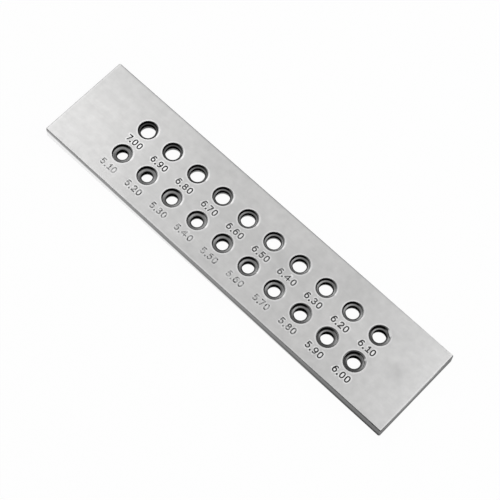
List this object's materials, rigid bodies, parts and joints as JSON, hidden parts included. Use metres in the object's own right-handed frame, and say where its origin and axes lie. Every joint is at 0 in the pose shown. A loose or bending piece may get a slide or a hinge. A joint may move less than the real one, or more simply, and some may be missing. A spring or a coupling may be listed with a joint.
{
  "type": "wire draw plate",
  "caption": "Flat steel plate with two rows of pressed-in carbide dies of rising bore, for drawing round wire down in steps.",
  "frame": {"origin": "centre of the back face, on the surface that the plate lies on", "axes": "+X along the plate, the way the size numbers read; +Y across it, from the row of smaller dies to the row of larger ones; +Z out of the front face, the way the wire leaves"},
  "size_m": [0.208, 0.048, 0.0075],
  "materials": {
    "plate_steel": "surface ground, satin",
    "die_carbide": "lapped cemented carbide"
  },
  "bodies": {
    "root": {"plate": "plate_steel", "die_01": "die_carbide", "die_02": "die_carbide", "die_03": "die_carbide", "die_04": "die_carbide", "die_05": "die_carbide", "die_06": "die_carbide", "die_07": "die_carbide", "die_08": "die_carbide", "die_09": "die_carbide", "die_10": "die_carbide", "die_11": "die_carbide", "die_12": "die_carbide", "die_13": "die_carbide", "die_14": "die_carbide", "die_15": "die_carbide", "die_16": "die_carbide", "die_17": "die_carbide", "die_18": "die_carbide", "die_19": "die_carbide", "die_20": "die_carbide"}
  },
  "joints": []
}
